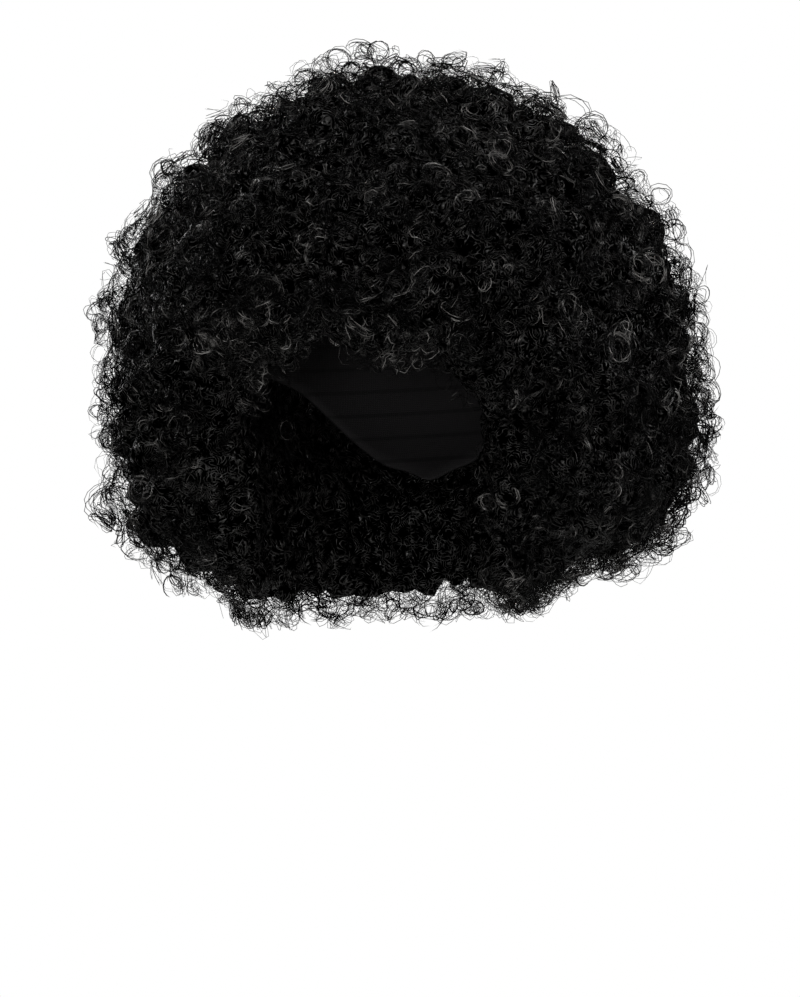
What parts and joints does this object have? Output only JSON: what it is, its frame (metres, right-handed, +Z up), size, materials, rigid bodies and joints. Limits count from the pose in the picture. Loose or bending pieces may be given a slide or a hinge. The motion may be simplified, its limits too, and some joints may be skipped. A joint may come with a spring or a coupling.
{
  "type": "afro wig",
  "caption": "Big round black afro wig, worn form: rows of tight curls sewn round a hollow stretch cap, open at the face and neck.",
  "frame": {"origin": "inside of the cap's crown, where the top of the head meets it", "axes": "+Z up, -Y out through the face opening, +X towards the wearer's left"},
  "size_m": [0.3737, 0.3568, 0.3359],
  "materials": {
    "cap_fabric": "matte elastic knit",
    "hair_fibre": "satin curled synthetic fibre"
  },
  "bodies": {
    "root": {"cap": "cap_fabric", "crown_weft": "hair_fibre", "upper_weft": "hair_fibre", "middle_weft": "hair_fibre", "fringe_weft": "hair_fibre", "ear_weft": "hair_fibre", "jaw_weft": "hair_fibre", "hem_weft": "hair_fibre"}
  },
  "joints": []
}
